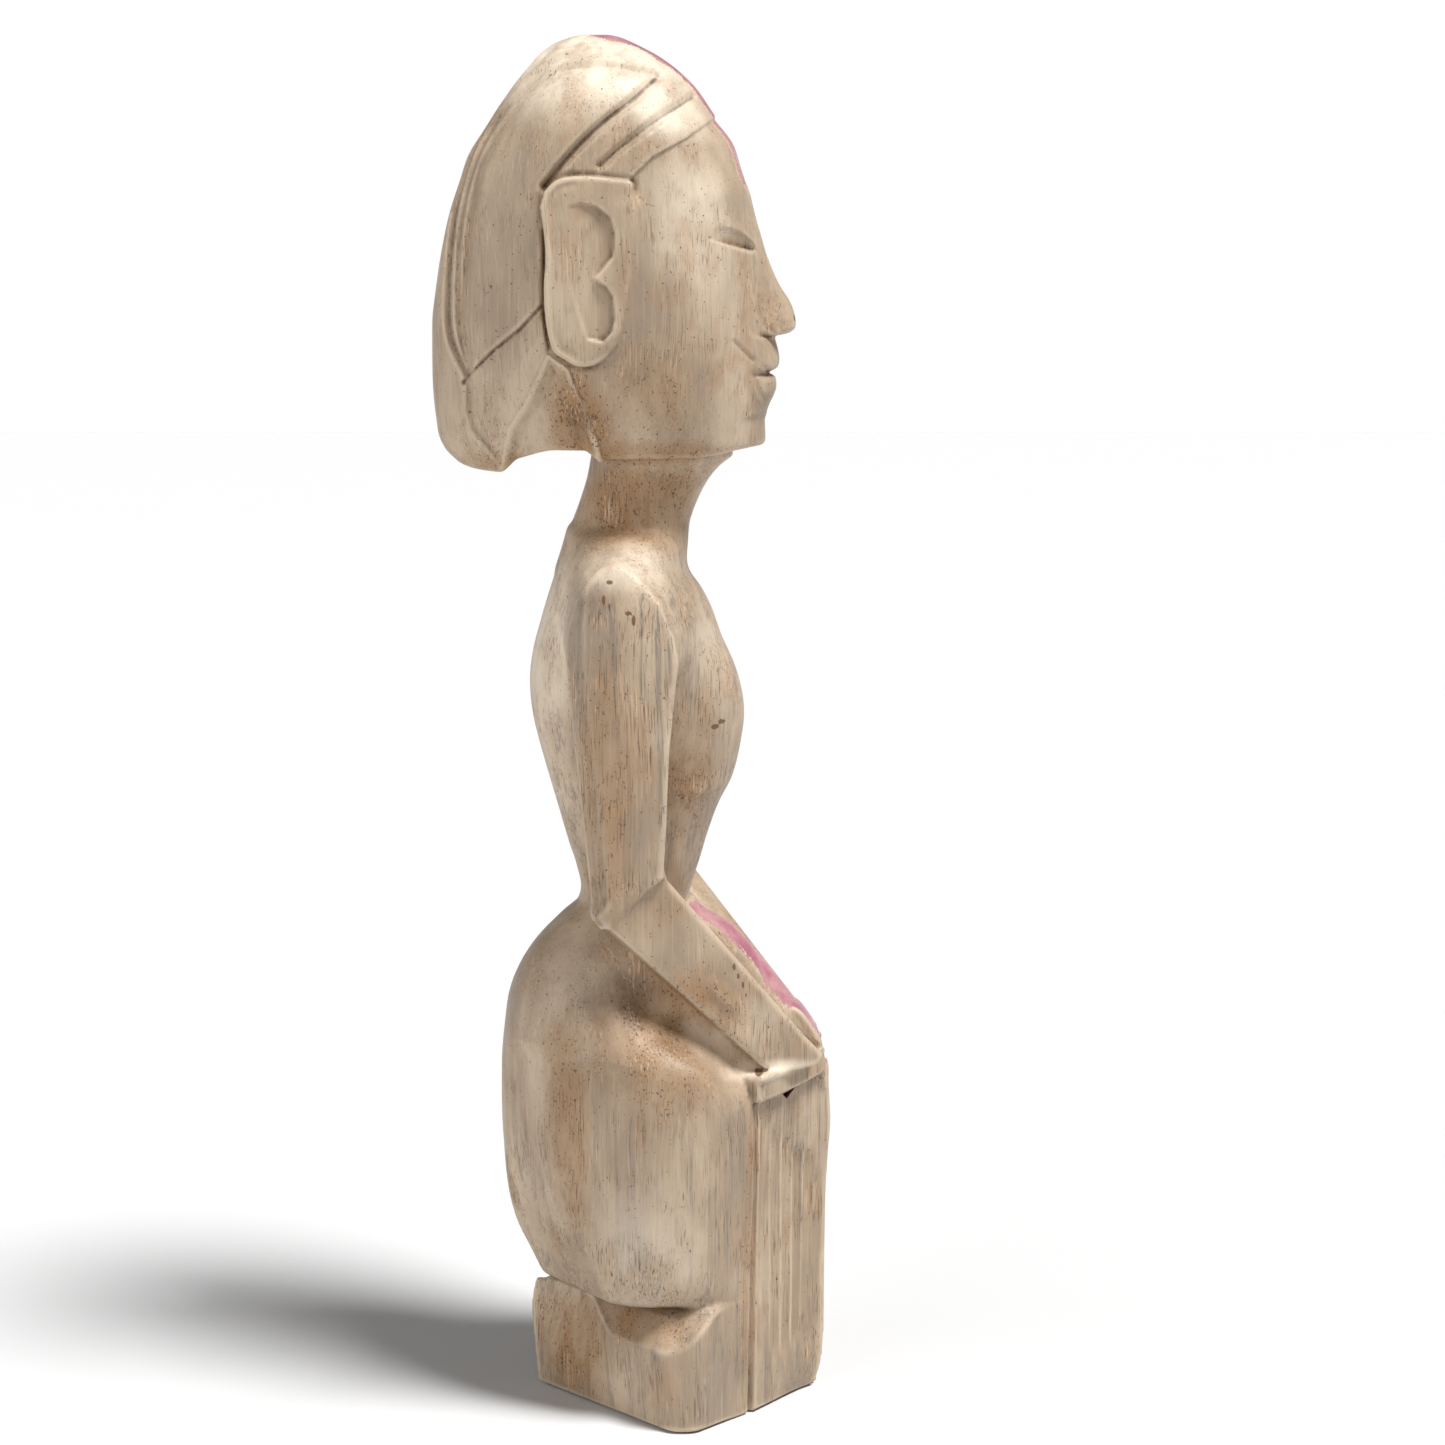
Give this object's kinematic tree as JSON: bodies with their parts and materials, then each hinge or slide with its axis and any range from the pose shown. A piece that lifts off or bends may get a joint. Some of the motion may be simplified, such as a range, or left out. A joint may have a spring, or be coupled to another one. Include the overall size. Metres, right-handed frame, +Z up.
{
  "type": "fertility doll",
  "caption": "Carved kneeling wooden figure with hands on its lap, on a squared base; a free-standing ornament.",
  "frame": {"origin": "middle of the flat underside of the base, on the figure's mid-plane", "axes": "+Z up the grain, the figure faces -Y, its right hand is on the -X side"},
  "size_m": [0.1044, 0.144, 0.5005],
  "materials": {
    "bleached_wood": "matte, bleached, with grey streaks in the grain",
    "pink_paint": "worn matte pink paint on wood"
  },
  "bodies": {
    "root": {"base_block": "bleached_wood", "skirt": "bleached_wood", "pleat_panel_right": "bleached_wood", "pleat_panel_left": "bleached_wood", "sash_lap": "pink_paint", "sash_tail": "bleached_wood", "torso": "bleached_wood", "neck": "bleached_wood", "head": "bleached_wood", "hair": "bleached_wood", "ear_right": "bleached_wood", "ear_left": "bleached_wood", "upper_arm_right": "bleached_wood", "upper_arm_left": "bleached_wood", "forearm_right": "bleached_wood", "forearm_left": "bleached_wood", "hand_right": "bleached_wood", "hand_left": "bleached_wood"}
  },
  "joints": []
}
